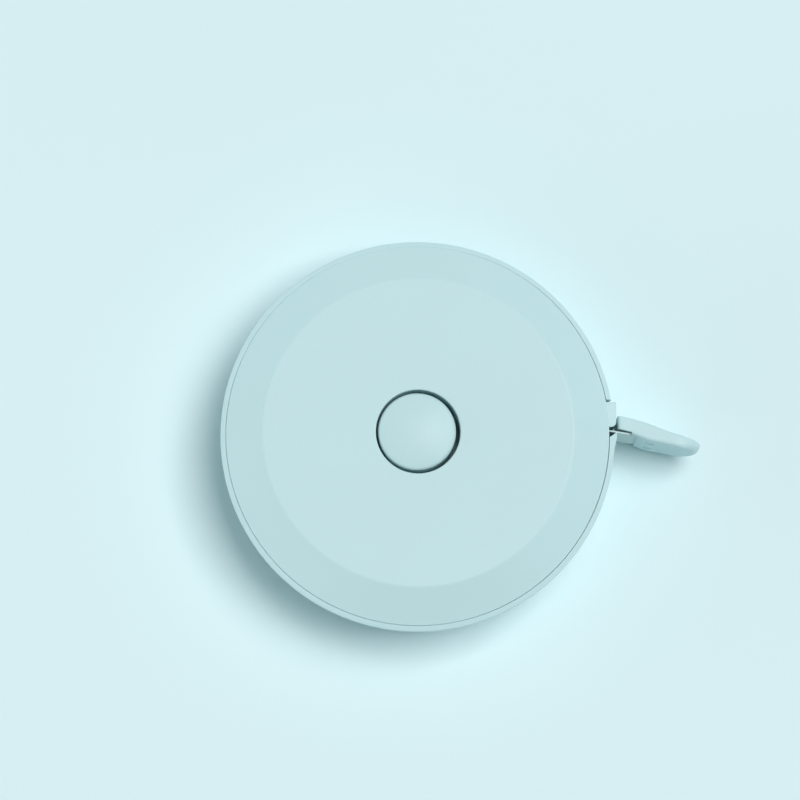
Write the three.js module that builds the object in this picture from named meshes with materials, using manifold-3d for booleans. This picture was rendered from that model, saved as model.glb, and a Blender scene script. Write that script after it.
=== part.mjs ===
// A round retractable sewing tape measure: two moulded shells, a reel driven by a flat power spring,
// a wound tape with a pull tab, and a domed release button that frees a friction brake.
// Millimetres, +Z up. The origin is the middle of the flat back, and +X points out of the mouth.
import * as THREE from "three";
import { mergeVertices } from "three/addons/utils/BufferGeometryUtils.js";
import Module from "manifold-3d";

const wasm = await Module();
wasm.setup();

// Case
const CASE_D = 50; // across the rim of the lower shell
const FACE_D = 39.4; // flat of the top face
const BEVEL_DROP = 2.4; // from the top face down to the lower edge of the bevel
const WALL_LEAN = 0.2; // the upper shell's wall leans in by this much above the seam
const BACK_D = 44; // flat of the back
const BACK_BEVEL = 1.2; // height of the bevel round the back
const WALL_TAPER = 1.6; // the wall leans in by this much towards the back
const WALL_BULGE = 0.15; // and is this much fuller half way up
const WALL = 1.2;
const FLOOR = 1;
const ROOF = 1.1;
const LIP = 0.5; // thin lip of the lower shell that stands outside the seam
const LIP_RISE = 1.15; // height of the lip above the ledge that carries the upper shell
const LIP_ROUND = 0.25;
const SEAM = 0.2; // width of the open seam
const SKIRT = 0.6; // thickness of the upper shell's skirt, which snaps inside the wall
const SKIRT_DEPTH = 1.15;
const BEAD = 0.25; // snap bead on the skirt
const RIB_RISE = 0.3; // ring on the floor that carries the reel
const RIB_D = 26;
const RIB_WIDTH = 1;
const TOP_RIB_RISE = 2.3; // ring under the roof that keeps the reel down
const TOP_RIB_D = 22;

// Clearances
const FIT = 0.2; // between pieces that stay together
const RUN = 0.3; // between pieces that move past each other
const EDGE_PLAY = 0.25; // from each edge of the tape to the reel
const RIM_PLAY = 0.7; // from the reel's flanges to the skirt

// Tape and reel
const TAPE_LENGTH = 1500;
const TAPE_WIDTH = 7;
const TAPE_THICK = 0.28;
const WRAP_AIR = 0.06; // air between neighbouring turns
const FLANGE = 0.6;
const FLANGE_MARGIN = 0.7; // flanges stand out beyond the full coil
const HUB_WALL = 1;
const HUB_STEP = 0.5; // ledge inside the hub that carries the spring plate
const SPIGOT = 0.9; // wall of the reel lid's spigot, which plugs into the hub
const SPIGOT_DEPTH = 1;
const PLATE = 0.3;

// Post, power spring and return spring
const BOSS_D = 10; // the reel turns on this boss
const POST_D = 7.6;
const BORE_D = 5.2;
const SPRING_THICK = 0.2;
const SPRING_TURNS = 12;
const SPRING_EVENNESS = 0.45; // 1 is evenly spaced, less packs the turns outwards
const HOOK_SLOT = 0.7;
const WIRE_D = 0.36;
const COIL_TURNS = 4.5;

// Button and brake
const HOLE_D = 10.66;
const HOLE_EDGE = 0.15;
const BUTTON_D = 9.9;
const BUTTON_EDGE = 0.35;
const BUTTON_STAND = 0.1; // edge of the dome above the top face
const DOME_RISE = 0.9;
const BUTTON_LEAN = 0.15; // the button rests this far to one side in its hole
const PRESS = 1; // travel of the button
const COLLAR_WALL = 1;
const BRAKE_WIDTH = 1.1;
const BRAKE_THICK = 0.55;
const BRAKE_PLATE = 0.7; // flange of the button that carries the brake ring
const UPSTAND = 0.4; // rim that centres the brake ring
const CAP_WALL = 1.05;
const STEM_D = 4.4;
const STEM_DEPTH = 3.4; // length of the stem below the flange
const KEY_WIDTH = 0.8; // ribs on the stem that stop the button turning
const KEY_D = 6.6;
const KEY_PLAY = 0.3;

// Mouth
const EXIT_ANGLE = -9; // direction in which the tape leaves
const MOUTH_Y = 0.7; // the tape crosses the rim this far to the side of the X axis
const GATE_STAND = 0.2; // outer face of the gate beyond the rim
const GATE_THICK = 1.4;
const GATE_TOP_Y = 4.25; // far side of the gate
const GATE_GAP = 0.3; // from there to the end of the notch
const GATE_RISE = 0.3; // top of the gate above the lip
const GUIDE_GAP = 0.1; // from the tape to the gate's round nose and to the lip
const NOTCH_LOW_Y = -0.3; // near side of the notch, where it meets the inside of the wall
const LIP_FLARE = 0.3; // the lip beside the tape stands out beyond the rim
const NOTCH_GAP = 0.35; // below the tape
const CHANNEL_GAP = 0.45; // beside the tape inside the case

// Pull tab, along the tape from the rim
const TAB_LENGTH = 11.2;
const TAB_MARGIN = 0.7; // above and below the tape
const TAB_HEEL = 2; // from the line of the tape to the back of the heel
const TAB_SHELF = 0.25; // from the line of the tape to the underside of the heel
const DROOP_FROM = 4.6; // the back of the tab comes down between these
const DROOP_TO = 6.4;
const BACK_RISE = 0.78; // from the line of the tape to the back of the tab near its tip
const BELLY_DEPTH = 0.8; // from the line of the tape to the outside of the tab near its tip
const TIP_MIDDLE = 0.2; // the tip ends this far above the line of the tape
const TIP_TAPER = 1.9; // length of the rounded tip
const JAW_START = 2.25;
const JAW_EDGE = 0.08; // from the line of the tape to the outside of the jaw at its start
const JAW_RAMP = 2.15; // length over which the jaw grows
const JAW_DEPTH = 0.57; // from the line of the tape to the outside of the full jaw
const POCKET_END = 5.7;
const POCKET_GAP = 0.1;
const TIP_ROUND = 3.4;
const HEEL_ROUND = 0.5;
const FLEX_AT = 1.75; // the tape bends here when the tab swings
const PEG_D = 0.9;
const PEG_AT = 4.75;
const PEG_SPREAD = 3.6;

// Fineness of the round shapes
const CASE_SIDES = 60;
const REEL_SIDES = 40;
const BUTTON_SIDES = 36;
const TAPE_STEPS = 22;
const SPRING_STEPS = 16;

// Levels, from the back up
const reelBase = FLOOR + RIB_RISE + RUN;
const reelFloor = reelBase + FLANGE;
const tapeLow = reelFloor + EDGE_PLAY;
const tapeHigh = tapeLow + TAPE_WIDTH;
const tapeMiddle = (tapeLow + tapeHigh) / 2;
const lidUnder = tapeHigh + EDGE_PLAY;
const lidOver = lidUnder + FLANGE;
const ledge = tapeHigh + FIT;
const seamTop = ledge + LIP_RISE;
const shellFoot = ledge + FIT;
const roofUnder = lidOver + RUN + TOP_RIB_RISE;
const faceTop = roofUnder + ROOF;
const bevelFoot = faceTop - BEVEL_DROP;
const brakeTop = lidUnder - RUN;
const brakeFoot = brakeTop - BRAKE_THICK;
const plateTop = brakeFoot - FIT / 2;
const plateFoot = plateTop - BRAKE_PLATE;
const springLid = plateFoot - PRESS - RUN;
const springLidFoot = springLid - PLATE;
const plateSeat = springLidFoot - FIT;
const springLow = reelFloor + EDGE_PLAY;
const springHigh = plateSeat - EDGE_PLAY;
const stemFoot = plateFoot - STEM_DEPTH;

// Radii, from the rim in
const caseR = CASE_D / 2;
const shellR = caseR - LIP - SEAM;
const wallR = shellR - WALL;
const baseR = caseR - WALL_TAPER;
const skirtR = wallR - FIT;
const skirtIn = skirtR - SKIRT;
const flangeR = skirtIn - RIM_PLAY;
const coilR = flangeR - FLANGE_MARGIN;
const lastTurnR = coilR - TAPE_THICK / 2;
const bossR = BOSS_D / 2;
const postR = POST_D / 2;
const boreR = BORE_D / 2;
const holeR = HOLE_D / 2;
const collarR = holeR + COLLAR_WALL;
const buttonR = BUTTON_D / 2;
const stemR = STEM_D / 2;
const lidHoleR = collarR + RUN + BUTTON_LEAN;
const brakeIn = lidHoleR + FIT;
const brakeOut = brakeIn + BRAKE_WIDTH;

function cleaned(geometry) {
  const bare = new THREE.BufferGeometry();
  bare.setAttribute("position", geometry.attributes.position.clone());
  if (geometry.index) bare.setIndex(geometry.index.clone());
  return mergeVertices(bare, 1e-4);
}

function signedVolume(points, corners) {
  const a = new THREE.Vector3();
  const b = new THREE.Vector3();
  const c = new THREE.Vector3();
  let sum = 0;
  for (let i = 0; i < corners.length; i += 3) {
    a.fromArray(points, 3 * corners[i]);
    b.fromArray(points, 3 * corners[i + 1]);
    c.fromArray(points, 3 * corners[i + 2]);
    sum += a.dot(b.cross(c)) / 6;
  }
  return sum;
}

// A closed three.js geometry as a solid that can be cut and joined.
function solid(geometry) {
  const merged = cleaned(geometry);
  const points = new Float32Array(merged.attributes.position.array);
  const corners = [];
  for (let i = 0; i < merged.index.count; i += 3) {
    const [a, b, c] = [merged.index.getX(i), merged.index.getX(i + 1), merged.index.getX(i + 2)];
    if (a !== b && b !== c && c !== a) corners.push(a, b, c);
  }
  if (signedVolume(points, corners) < 0) corners.reverse();
  const triVerts = new Uint32Array(corners);
  return new wasm.Manifold(new wasm.Mesh({ numProp: 3, vertProperties: points, triVerts }));
}

// A profile of [radius, height] pairs turned about the Z axis.
function turned(profile, sides) {
  const points = profile.map(([r, z]) => new THREE.Vector2(r, z));
  return solid(new THREE.LatheGeometry(points, sides).rotateX(Math.PI / 2));
}

// A ring whose profile closes on itself.
function ring(profile, sides) {
  return turned([...profile, profile[0]], sides);
}

function prismGeometry(outline, low, high) {
  const shape = new THREE.Shape(outline.map(([x, y]) => new THREE.Vector2(x, y)));
  const settings = { depth: high - low, bevelEnabled: false };
  return new THREE.ExtrudeGeometry(shape, settings).translate(0, 0, low);
}

function prism(outline, low, high) {
  return solid(prismGeometry(outline, low, high));
}

function arc(x, y, radius, from, to, steps) {
  const points = [];
  for (let i = 0; i <= steps; i += 1) {
    const angle = from + ((to - from) * i) / steps;
    points.push([x + radius * Math.cos(angle), y + radius * Math.sin(angle)]);
  }
  return points;
}

function polar(radius, angle) {
  return [radius * Math.cos(angle), radius * Math.sin(angle)];
}

// Where the tape leaves: a frame with its origin on the rim and its X axis along the tape.
const exitAngle = THREE.MathUtils.degToRad(EXIT_ANGLE);
const along = new THREE.Vector2(Math.cos(exitAngle), Math.sin(exitAngle));
const across = new THREE.Vector2(-along.y, along.x);
const mouth = new THREE.Vector2(caseR, MOUTH_Y);

// The tape's way out: straight off the last turn, round the gate's nose, then straight out.
const gateX = caseR + GATE_STAND;
const noseR = GATE_THICK / 2;
const bendR = noseR + GUIDE_GAP + TAPE_THICK / 2;
const noseX = gateX - noseR;
const noseY = mouth.y + (bendR - (noseX - mouth.x) * across.x) / across.y;
const nose = new THREE.Vector2(noseX, noseY);
const leaveAngle = nose.angle() + Math.acos((lastTurnR + bendR) / nose.length());
const leave = new THREE.Vector2(...polar(lastTurnR, leaveAngle));
const bendFrom = leaveAngle + Math.PI;
const bendTo = exitAngle + 1.5 * Math.PI;
const bendStart = new THREE.Vector2(bendR, 0).rotateAround(new THREE.Vector2(), bendFrom).add(nose);
const straight = bendStart.clone().sub(leave);
const clearOfCoil = Math.sqrt((coilR + FIT) ** 2 - (lastTurnR - TAPE_THICK / 2) ** 2);
const runStart = leave.clone().addScaledVector(straight, clearOfCoil / straight.length());
const lipX = caseR + LIP_FLARE;
const lipY = mouth.y + ((lipX - mouth.x) * along.y - TAPE_THICK / 2 - GUIDE_GAP) / along.x;
const exitStart = -FIT;
const runEnd = exitStart - RUN;

// A strip of the given half width along the tape's way out, from the coil to the mouth.
function runOutline(half) {
  const side = straight.clone().normalize().rotateAround(new THREE.Vector2(), Math.PI / 2);
  const begin = (s) => [runStart.x + side.x * s, runStart.y + side.y * s];
  const finish = (s) => [
    mouth.x + along.x * runEnd + across.x * s,
    mouth.y + along.y * runEnd + across.y * s,
  ];
  const inner = arc(nose.x, nose.y, bendR - half, bendFrom, bendTo, 6);
  const outer = arc(nose.x, nose.y, bendR + half, bendTo, bendFrom, 6);
  return [begin(half), ...inner, finish(half), finish(-half), ...outer, begin(-half)];
}

// The wound tape: its length sets the radius of the hub.
const pitch = TAPE_THICK + WRAP_AIR;
const bendLength = bendR * (bendTo - bendFrom);
const looseLength = straight.length() + bendLength + POCKET_END;
const woundLength = TAPE_LENGTH - looseLength;
const firstTurnR = Math.sqrt(lastTurnR ** 2 - (woundLength * pitch) / Math.PI);
const turns = (lastTurnR - firstTurnR) / pitch;
const hubR = firstTurnR - TAPE_THICK / 2 - RUN;
const seatR = hubR - HUB_WALL;
const chamberR = seatR - HUB_STEP;

// Outline of a strip wound outwards, with a short tail turned in at the start, and one turned out at
// the end if tailOut is given. Angles run from the first turn to the last.
function spiral(radiusAt, from, to, thick, steps, tailIn, tailOut) {
  const angleAt = (k) => from + (to - from) * k;
  const width = (r) => (Math.sign(to - from) * thick) / r;
  const outer = [];
  const inner = [];
  for (let i = 0; i <= steps; i += 1) {
    const k = i / steps;
    if (i < steps || !tailOut) outer.push(polar(radiusAt(k) + thick / 2, angleAt(k)));
    if (i > 0) inner.push(polar(radiusAt(k) - thick / 2, angleAt(k)));
  }
  const startR = radiusAt(0) - thick / 2;
  const tail = [
    polar(startR, from + width(startR)),
    polar(tailIn, from + width(tailIn)),
    polar(tailIn, from),
  ];
  const endR = radiusAt(1) + thick / 2;
  const end = tailOut
    ? [polar(endR, to - width(endR)), polar(tailOut, to - width(tailOut)), polar(tailOut, to)]
    : [];
  return [...outer, ...end, ...inner.reverse(), ...tail];
}

const coilEnd = runStart.angle();
const coilStart = coilEnd + turns * 2 * Math.PI;
const coilRadius = (k) => firstTurnR + (lastTurnR - firstTurnR) * k;
const tapeTail = seatR + FIT;
const coilSteps = Math.round(turns * TAPE_STEPS);
const coilOutline = spiral(coilRadius, coilStart, coilEnd, TAPE_THICK, coilSteps, tapeTail);

const springFirst = postR + RUN + SPRING_THICK / 2;
const springLast = chamberR - RUN - SPRING_THICK / 2;
const springRadius = (k) => {
  const eased = SPRING_EVENNESS * k + (1 - SPRING_EVENNESS) * (1 - (1 - k) ** 2);
  return springFirst + (springLast - springFirst) * eased;
};
const springTurn = -SPRING_TURNS * 2 * Math.PI;
const springTailIn = boreR + FIT;
const springTailOut = (chamberR + hubR) / 2;
const springOutline = spiral(
  springRadius,
  0,
  springTurn,
  SPRING_THICK,
  SPRING_TURNS * SPRING_STEPS,
  springTailIn,
  springTailOut,
);

// A slot for a strip's tail, as wide as HOOK_SLOT, across the wall between two radii.
function tailSlot(inside, outside, low, high, angle) {
  const box = new THREE.BoxGeometry(outside - inside, HOOK_SLOT, high - low);
  box.translate((inside + outside) / 2, 0, (low + high) / 2).rotateZ(angle);
  return solid(box);
}

class Helix extends THREE.Curve {
  constructor(radius, low, high, count) {
    super();
    Object.assign(this, { radius, low, high, count });
  }

  getPoint(t) {
    const angle = t * this.count * 2 * Math.PI;
    const height = this.low + (this.high - this.low) * t;
    return new THREE.Vector3(...polar(this.radius, angle), height);
  }
}

function lowerShell() {
  const wallFoot = BACK_BEVEL;
  const wallTop = seamTop - LIP_ROUND;
  const middle = [(baseR + caseR) / 2 + WALL_BULGE, (wallFoot + wallTop) / 2];
  const floorR = baseR - WALL;
  const corner = WALL / 3;
  const bead = shellFoot - SKIRT_DEPTH / 2;
  const ribR = RIB_D / 2;
  const body = turned(
    [
      [0, 0],
      [BACK_D / 2, 0],
      [baseR, wallFoot],
      middle,
      ...arc(caseR - LIP_ROUND, wallTop, LIP_ROUND, 0, Math.PI / 2, 3),
      [caseR - LIP, seamTop],
      [caseR - LIP, ledge],
      [wallR, ledge],
      [wallR, bead + BEAD],
      [wallR + BEAD, bead],
      [wallR, bead - BEAD],
      [floorR, FLOOR + corner],
      [floorR - corner, FLOOR],
      [ribR, FLOOR],
      [ribR, FLOOR + RIB_RISE],
      [ribR - RIB_WIDTH, FLOOR + RIB_RISE],
      [ribR - RIB_WIDTH, FLOOR],
      [bossR, FLOOR],
      [bossR, reelFloor],
      [postR, reelFloor],
      [postR, springLid],
      [boreR, springLid],
      [boreR, FLOOR],
      [0, FLOOR],
    ],
    CASE_SIDES,
  );
  const notchFloor = tapeLow - NOTCH_GAP;
  const far = gateX + LIP_FLARE + RUN;
  const lip = prism(
    [
      [wallR + WALL / 2, NOTCH_LOW_Y],
      [wallR + WALL / 2, NOTCH_LOW_Y - WALL],
      [caseR - LIP / 2, NOTCH_LOW_Y - 2 * WALL],
      [lipX, NOTCH_LOW_Y],
      [lipX, lipY],
    ],
    notchFloor,
    seamTop,
  );
  const notch = prism(
    [
      [skirtIn, GATE_TOP_Y + GATE_GAP],
      [skirtIn, NOTCH_LOW_Y],
      [shellR, NOTCH_LOW_Y],
      [lipX, lipY],
      [far, lipY],
      [far, GATE_TOP_Y + GATE_GAP],
    ],
    notchFloor,
    faceTop,
  );
  const channel = prism(runOutline(TAPE_THICK / 2 + CHANNEL_GAP), notchFloor, ledge);
  const seat = ring(
    [
      [shellR + SEAM, ledge],
      [shellR + SEAM, faceTop],
      [wallR - FIT, faceTop],
      [wallR - FIT, ledge],
    ],
    CASE_SIDES,
  );
  const keys = new THREE.BoxGeometry(KEY_WIDTH + 2 * KEY_PLAY, POST_D + RUN, springLid);
  keys.translate(0, 0, stemFoot - PRESS - RUN + springLid / 2);
  const hook = tailSlot(boreR - RUN, postR + RUN, springLow - EDGE_PLAY, springLid + RUN, 0);
  const walls = body.add(lip).subtract(notch).subtract(channel).subtract(seat);
  return walls.subtract(solid(keys)).subtract(hook);
}

function upperShell() {
  const faceR = FACE_D / 2;
  const bevelR = shellR - WALL_LEAN;
  const slope = BEVEL_DROP / (bevelR - faceR);
  const inset = ROOF * Math.hypot(1, slope);
  const under = (r) => faceTop - inset - (r - faceR) * slope;
  const roofR = faceR + (ROOF - inset) / slope;
  const bead = shellFoot - SKIRT_DEPTH / 2;
  const skirtFoot = shellFoot - SKIRT_DEPTH;
  const ribR = TOP_RIB_D / 2;
  const ribFoot = lidOver + RUN;
  const collarFoot = lidUnder + RUN;
  const body = ring(
    [
      [holeR, faceTop - HOLE_EDGE],
      [holeR + HOLE_EDGE, faceTop],
      [faceR, faceTop],
      [bevelR, bevelFoot],
      [shellR, seamTop],
      [shellR, shellFoot],
      [skirtR, shellFoot],
      [skirtR, bead + BEAD],
      [skirtR + BEAD, bead],
      [skirtR, bead - BEAD],
      [skirtR, skirtFoot],
      [skirtIn, skirtFoot],
      [skirtIn, under(skirtIn)],
      [roofR, roofUnder],
      [ribR, roofUnder],
      [ribR, ribFoot],
      [ribR - RIB_WIDTH, ribFoot],
      [ribR - RIB_WIDTH, roofUnder],
      [collarR, roofUnder],
      [collarR, collarFoot],
      [holeR, collarFoot],
    ],
    CASE_SIDES,
  );
  const gateOutline = [
    [noseX - noseR, GATE_TOP_Y],
    ...arc(noseX, noseY, noseR, Math.PI, 2 * Math.PI, 8),
    [gateX, GATE_TOP_Y],
  ];
  const gate = prism(gateOutline, tapeLow - NOTCH_GAP + FIT, seamTop + GATE_RISE);
  const channel = prism(runOutline(TAPE_THICK / 2 + CHANNEL_GAP), 0, ledge);
  return body.subtract(channel).add(gate);
}

function pushButton() {
  const domeR = buttonR - BUTTON_EDGE;
  const edge = faceTop + BUTTON_STAND;
  const sphere = (domeR ** 2 + DOME_RISE ** 2) / (2 * DOME_RISE);
  const half = Math.asin(domeR / sphere);
  const dome = arc(0, edge + DOME_RISE - sphere, sphere, Math.PI / 2, Math.PI / 2 - half, 6);
  const cavityR = buttonR - CAP_WALL;
  const cavityTop = faceTop - ROOF;
  const rimR = brakeIn - FIT / 2;
  const body = turned(
    [
      [0, edge + DOME_RISE],
      ...dome.slice(1),
      [domeR + BUTTON_EDGE * 0.7, edge - BUTTON_EDGE * 0.4],
      [buttonR, edge - BUTTON_EDGE],
      [buttonR, plateTop],
      [rimR - UPSTAND, plateTop],
      [rimR - UPSTAND, plateTop + UPSTAND],
      [rimR, plateTop + UPSTAND],
      [rimR, plateTop],
      [brakeOut, plateTop],
      [brakeOut, plateFoot],
      [cavityR, plateFoot],
      [cavityR, cavityTop],
      [stemR, cavityTop],
      [stemR, stemFoot],
      [0, stemFoot],
    ],
    BUTTON_SIDES,
  );
  const keys = new THREE.BoxGeometry(KEY_WIDTH, KEY_D, STEM_DEPTH);
  keys.translate(0, 0, stemFoot + STEM_DEPTH / 2);
  return body.add(solid(keys));
}

function brakeRing() {
  const edge = BRAKE_THICK / 4;
  return ring(
    [
      [brakeIn, brakeFoot],
      [brakeOut, brakeFoot],
      [brakeOut, brakeTop - edge],
      [brakeOut - edge, brakeTop],
      [brakeIn + edge, brakeTop],
      [brakeIn, brakeTop - edge],
    ],
    BUTTON_SIDES,
  );
}

function buttonSpring() {
  const wireR = WIRE_D / 2;
  const coilRadiusOut = stemR - wireR;
  const low = FLOOR + wireR + FIT;
  const high = stemFoot - wireR - FIT;
  const circle = arc(0, 0, wireR, 0, 2 * Math.PI, 6).slice(1);
  const section = new THREE.Shape(circle.map((point) => new THREE.Vector2(...point)));
  const path = new Helix(coilRadiusOut, low, high, COIL_TURNS);
  const steps = Math.round(COIL_TURNS * 14);
  return solid(new THREE.ExtrudeGeometry(section, { steps, extrudePath: path, bevelEnabled: false }));
}

function reelDrum() {
  const hubTop = lidUnder - FIT;
  const body = ring(
    [
      [bossR + RUN, reelBase],
      [flangeR, reelBase],
      [flangeR, reelFloor],
      [hubR, reelFloor],
      [hubR, hubTop],
      [seatR, hubTop],
      [seatR, plateSeat],
      [chamberR, plateSeat],
      [chamberR, reelFloor],
      [bossR + RUN, reelFloor],
    ],
    REEL_SIDES,
  );
  const tapeSlot = tailSlot(seatR - RUN, hubR + RUN, tapeLow - EDGE_PLAY, hubTop + RUN, coilStart);
  const springSlot = tailSlot(chamberR - RUN, hubR + RUN, reelFloor, plateSeat, springTurn);
  return body.subtract(tapeSlot).subtract(springSlot);
}

function reelLid() {
  const spigotR = seatR - FIT;
  return ring(
    [
      [lidHoleR, lidUnder],
      [spigotR - SPIGOT, lidUnder],
      [spigotR - SPIGOT, lidUnder - SPIGOT_DEPTH],
      [spigotR, lidUnder - SPIGOT_DEPTH],
      [spigotR, lidUnder],
      [flangeR, lidUnder],
      [flangeR, lidOver],
      [lidHoleR, lidOver],
    ],
    REEL_SIDES,
  );
}

function springPlate() {
  return ring(
    [
      [postR + RUN, springLidFoot],
      [seatR - FIT, springLidFoot],
      [seatR - FIT, springLid],
      [postR + RUN, springLid],
    ],
    REEL_SIDES,
  );
}

// A peg across the tab, from the outside of the jaw into the heel, on the given side of the middle.
function peg(radius, side, reach = 0) {
  const length = TAB_HEEL / 2 + JAW_DEPTH + 2 * reach;
  const shape = new THREE.CylinderGeometry(radius, radius, length, 16);
  const height = tapeMiddle + (side * PEG_SPREAD) / 2;
  return solid(shape.translate(PEG_AT, length / 2 - JAW_DEPTH - reach, height));
}

function withPegHoles(body) {
  const holeR = PEG_D / 2 + POCKET_GAP;
  return body.subtract(peg(holeR, 1, POCKET_GAP)).subtract(peg(holeR, -1, POCKET_GAP));
}

function tapeStrip(from, to) {
  const strip = new THREE.BoxGeometry(to - from, TAPE_THICK, TAPE_WIDTH);
  return solid(strip.translate((from + to) / 2, 0, tapeMiddle));
}

function pullTab() {
  const low = tapeLow - TAB_MARGIN;
  const high = tapeHigh + TAB_MARGIN;
  const heelAt = (v) => (GATE_STAND + FIT - v * across.x) / across.y;
  const tipStart = TAB_LENGTH - TIP_TAPER;
  const outline = new THREE.Shape();
  outline.moveTo(heelAt(TAB_SHELF), TAB_SHELF);
  outline.lineTo(JAW_START, TAB_SHELF);
  outline.lineTo(JAW_START, -JAW_EDGE);
  outline.lineTo(JAW_START + JAW_RAMP, -JAW_DEPTH);
  outline.lineTo(tipStart, -BELLY_DEPTH);
  outline.bezierCurveTo(TAB_LENGTH - TIP_TAPER / 3, -BELLY_DEPTH, TAB_LENGTH, 0, TAB_LENGTH, TIP_MIDDLE);
  outline.quadraticCurveTo(TAB_LENGTH, BACK_RISE, tipStart, BACK_RISE);
  outline.bezierCurveTo(DROOP_TO, BACK_RISE, DROOP_FROM, TAB_HEEL, heelAt(TAB_HEEL), TAB_HEEL);
  const plan = outline.getPoints(6).map((p) => [p.x, p.y]);
  const start = heelAt(TAB_HEEL);
  const side = [
    ...arc(start + HEEL_ROUND, low + HEEL_ROUND, HEEL_ROUND, Math.PI, 1.5 * Math.PI, 3),
    ...arc(TAB_LENGTH - TIP_ROUND, low + TIP_ROUND, TIP_ROUND, 1.5 * Math.PI, 2 * Math.PI, 7),
    ...arc(TAB_LENGTH - TIP_ROUND, high - TIP_ROUND, TIP_ROUND, 0, Math.PI / 2, 7),
    ...arc(start + HEEL_ROUND, high - HEEL_ROUND, HEEL_ROUND, Math.PI / 2, Math.PI, 3),
  ];
  const sideDepth = 2 * (TAB_HEEL + JAW_DEPTH);
  const sideView = prismGeometry(side, -sideDepth / 2, sideDepth / 2).rotateX(Math.PI / 2);
  const body = prism(plan, low, high).intersect(solid(sideView));
  const pocketLength = POCKET_END - JAW_START + FIT;
  const pocketThick = TAPE_THICK + 2 * POCKET_GAP;
  const pocket = new THREE.BoxGeometry(pocketLength + RUN, pocketThick, TAPE_WIDTH + 2 * FIT);
  pocket.translate(JAW_START - RUN + (pocketLength + RUN) / 2, 0, tapeMiddle);
  return withPegHoles(body.subtract(solid(pocket)));
}

function finish(color, roughness, metalness) {
  return new THREE.MeshStandardMaterial({ color, roughness, metalness });
}

const mint = finish(0xc2e2e4, 0.42, 0);
const white = finish(0xe9e9e4, 0.5, 0);
const woven = finish(0xf1efe4, 0.65, 0);
const steel = finish(0x8f9499, 0.35, 1);
const rubber = finish(0x2c2e2f, 0.85, 0);

const part = new THREE.Group();
part.name = "sewing_tape_measure";

const button = new THREE.Group();
button.position.x = -BUTTON_LEAN;
const tapeTip = new THREE.Group();
tapeTip.position.set(mouth.x, mouth.y, 0);
tapeTip.rotation.z = exitAngle;
part.add(button, tapeTip);

function addPiece(group, name, body, material) {
  const { vertProperties, triVerts } = body.getMesh();
  const indexed = new THREE.BufferGeometry();
  indexed.setAttribute("position", new THREE.BufferAttribute(new Float32Array(vertProperties), 3));
  indexed.setIndex(new THREE.BufferAttribute(new Uint32Array(triVerts), 1));
  const geometry = indexed.toNonIndexed();
  geometry.computeVertexNormals();
  const mesh = new THREE.Mesh(geometry, material.clone());
  mesh.name = name;
  group.add(mesh);
}

addPiece(part, "lower_shell", lowerShell(), mint);
addPiece(part, "upper_shell", upperShell(), mint);
addPiece(part, "button_spring", buttonSpring(), steel);
addPiece(part, "reel_drum", reelDrum(), white);
addPiece(part, "reel_lid", reelLid(), white);
addPiece(part, "spring_plate", springPlate(), steel);
addPiece(part, "power_spring", prism(springOutline, springLow, springHigh), steel);
addPiece(part, "tape_coil", prism(coilOutline, tapeLow, tapeHigh), woven);
addPiece(part, "tape_run", prism(runOutline(TAPE_THICK / 2), tapeLow, tapeHigh), woven);
addPiece(button, "push_button", pushButton(), mint);
addPiece(button, "brake_ring", brakeRing(), rubber);
addPiece(tapeTip, "tape_exit", tapeStrip(exitStart, FLEX_AT - FIT / 2), woven);
addPiece(tapeTip, "tape_end", withPegHoles(tapeStrip(FLEX_AT + FIT / 2, POCKET_END)), woven);
addPiece(tapeTip, "pull_tab", pullTab(), mint);
addPiece(tapeTip, "tab_peg_upper", peg(PEG_D / 2, 1), mint);
addPiece(tapeTip, "tab_peg_lower", peg(PEG_D / 2, -1), mint);

export default part;
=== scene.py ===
"""A round retractable sewing tape measure: mint shells, a domed button, a cloth tape and its pull tab.

Lengths are in millimetres and are turned into metres where a mesh is made. Only the lamps' are in metres.
"""
import math

import bmesh
import bpy
import numpy as np
from mathutils import Matrix, Vector


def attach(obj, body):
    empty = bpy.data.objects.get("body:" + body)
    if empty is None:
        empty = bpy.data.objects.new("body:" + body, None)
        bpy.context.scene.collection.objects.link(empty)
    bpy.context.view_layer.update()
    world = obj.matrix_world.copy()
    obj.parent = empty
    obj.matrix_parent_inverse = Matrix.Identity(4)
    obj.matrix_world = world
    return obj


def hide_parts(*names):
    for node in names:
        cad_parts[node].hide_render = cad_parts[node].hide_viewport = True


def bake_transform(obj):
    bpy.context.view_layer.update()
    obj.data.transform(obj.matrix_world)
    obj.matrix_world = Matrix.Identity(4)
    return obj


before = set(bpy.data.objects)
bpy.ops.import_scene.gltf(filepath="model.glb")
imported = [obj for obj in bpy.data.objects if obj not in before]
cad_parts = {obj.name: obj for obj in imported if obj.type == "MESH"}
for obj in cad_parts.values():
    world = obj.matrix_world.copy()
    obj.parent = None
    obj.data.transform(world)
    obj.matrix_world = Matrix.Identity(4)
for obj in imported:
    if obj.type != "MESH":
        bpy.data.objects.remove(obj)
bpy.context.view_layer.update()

MM = 0.001
SCENE = bpy.context.scene
SCENE.view_settings.view_transform = "Standard"

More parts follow.
